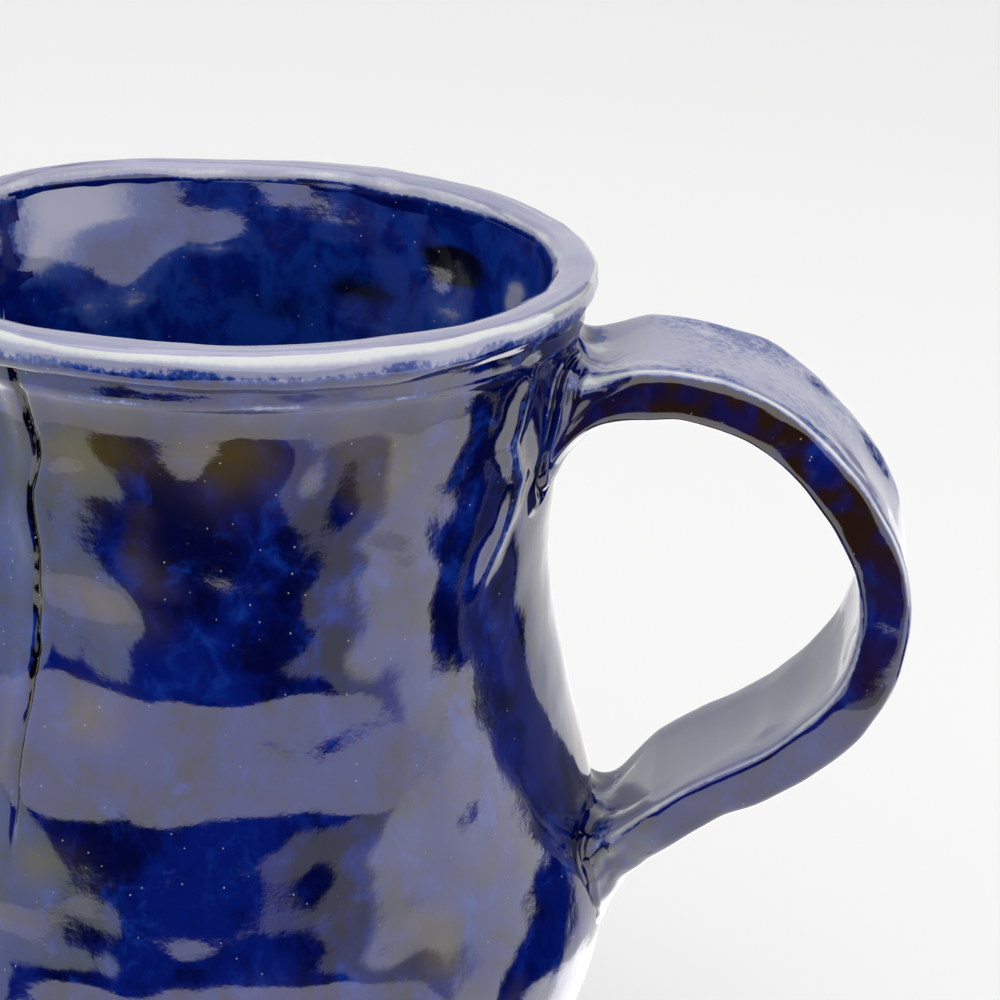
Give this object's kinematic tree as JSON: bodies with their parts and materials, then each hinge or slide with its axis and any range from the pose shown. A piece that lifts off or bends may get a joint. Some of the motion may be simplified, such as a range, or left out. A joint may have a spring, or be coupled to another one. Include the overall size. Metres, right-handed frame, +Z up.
{
  "type": "ceramic pitcher",
  "caption": "Hand-built pitcher in glazed stoneware: a round-bellied vessel with a rolled rim, a pulled pouring lip and a strap handle, standing on a flat base.",
  "frame": {"origin": "centre of the flat underside that the pitcher stands on", "axes": "+Z is up out of the mouth, +X points along the handle and the spout pours towards -X"},
  "size_m": [0.1731, 0.1218, 0.151],
  "materials": {
    "foot_clay": "bare stoneware clay, matt and slightly gritty",
    "body_glaze": "glossy cobalt blue glaze, mottled, over a hand-worked surface",
    "rim_glaze": "glossy cobalt glaze, thin and pale where it breaks over the rim",
    "spout_glaze": "glossy cobalt blue glaze, breaking pale at the lip",
    "handle_glaze": "glossy cobalt glaze with pale breaking edges, blisters and pits",
    "joint_glaze": "glossy cobalt glaze pooled dark in the folds of the joints"
  },
  "bodies": {
    "root": {"base_slab": "foot_clay", "body_wall": "body_glaze", "rim_coil": "rim_glaze", "pouring_spout": "spout_glaze", "handle_strap": "handle_glaze", "handle_upper_joint": "joint_glaze", "handle_lower_joint": "joint_glaze"}
  },
  "joints": []
}
